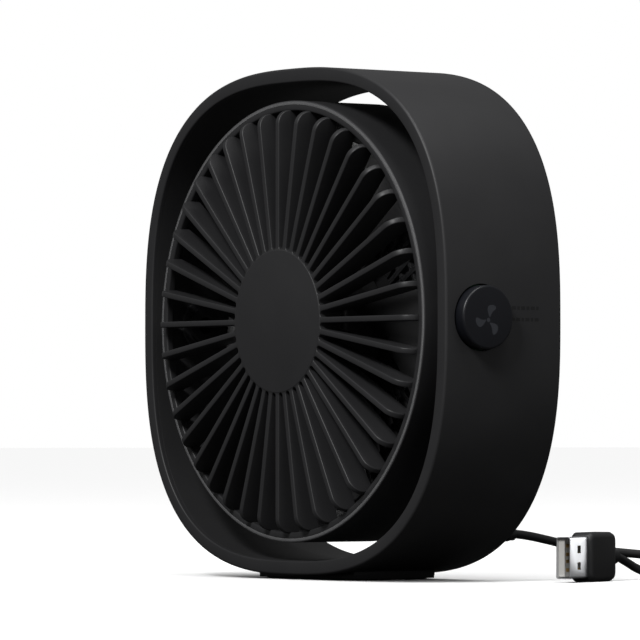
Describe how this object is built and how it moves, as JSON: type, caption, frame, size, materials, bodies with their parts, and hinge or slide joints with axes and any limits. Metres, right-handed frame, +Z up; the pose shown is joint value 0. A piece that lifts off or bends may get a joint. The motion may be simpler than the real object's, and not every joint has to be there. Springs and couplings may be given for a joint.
{
  "type": "desk fan",
  "caption": "Desk fan: a round grilled fan head that tilts inside a rounded-square frame, with a speed knob, a flat base and a coiled power cord.",
  "frame": {"origin": "centre of the base's underside, on the surface the fan stands on", "axes": "+Z up; the air leaves towards -Y; the speed knob and the cord are on the +X side"},
  "size_m": [0.1968, 0.1377, 0.1513],
  "materials": {
    "frame_plastic": "fine matt",
    "base_plastic": "fine matt",
    "head_plastic": "fine matt",
    "grille_plastic": "fine matt",
    "knob_plastic": "smooth matt",
    "impeller_plastic": "smooth matt",
    "strip_rubber": "matt",
    "cord_rubber": "soft matt",
    "tie_plastic": "matt",
    "plug_plastic": "satin",
    "plug_steel": "plated, satin",
    "tongue_plastic": "matt",
    "contact_brass": "plated",
    "bush_brass": "sintered, oiled",
    "screw_steel": "zinc plated",
    "shaft_steel": "turned",
    "stub_black": "black finish, satin",
    "wire_black": "insulation",
    "core_steel": "pressed",
    "magnet_grey": "bonded ferrite, matt",
    "coil_copper": "enamelled copper wire",
    "board_laminate": "solder mask",
    "washer_nylon": "black nylon",
    "wire_red": "insulation",
    "wire_blue": "insulation"
  },
  "bodies": {
    "frame": {"frame_shell": "frame_plastic", "frame_liner": "frame_plastic", "frame_screws": "screw_steel", "base_plinth": "base_plastic", "base_strips": "strip_rubber", "base_screws": "screw_steel", "pivot_bush_left": "bush_brass", "pivot_bush_right": "bush_brass", "switch_board": "board_laminate", "switch_contacts": "contact_brass", "supply_wires": "wire_red", "motor_lead": "wire_blue", "strain_relief": "cord_rubber", "power_cord": "cord_rubber", "cord_coil": "cord_rubber", "cord_tie": "tie_plastic", "plug_lead": "cord_rubber", "plug_grip": "plug_plastic", "plug_shell": "plug_steel", "plug_tongue": "tongue_plastic", "plug_contacts": "contact_brass"},
    "knob": {"speed_knob": "knob_plastic", "knob_wiper": "contact_brass", "knob_clip": "screw_steel"},
    "head": {"head_shell": "head_plastic", "front_grille": "grille_plastic", "rear_grille": "grille_plastic", "head_screws": "screw_steel", "pivot_stub_left": "stub_black", "pivot_stub_right": "stub_black", "pivot_washers": "washer_nylon", "pivot_clips": "screw_steel", "motor_base": "base_plastic", "motor_screws": "screw_steel", "motor_bushes": "bush_brass", "motor_stator": "core_steel", "motor_coils": "coil_copper", "motor_board": "board_laminate", "head_wires": "wire_black"},
    "impeller": {"impeller": "impeller_plastic", "rotor_cup": "core_steel", "magnet_ring": "magnet_grey", "motor_shaft": "shaft_steel", "shaft_clip": "screw_steel"}
  },
  "joints": [
    {"name": "head_tilt", "type": "hinge", "parent": "frame", "child": "head", "pos_m": [0, -0.0083, 0.0763], "axis": [1, 0, 0], "range_deg": [-180, 180]},
    {"name": "knob_turn", "type": "hinge", "parent": "frame", "child": "knob", "pos_m": [0.075, -0.0083, 0.0763], "axis": [1, 0, 0], "range_deg": [0, 90]},
    {"name": "impeller_spin", "type": "hinge", "parent": "head", "child": "impeller", "pos_m": [0, 0, 0.0763], "axis": [0, 1, 0], "continuous": true}
  ]
}
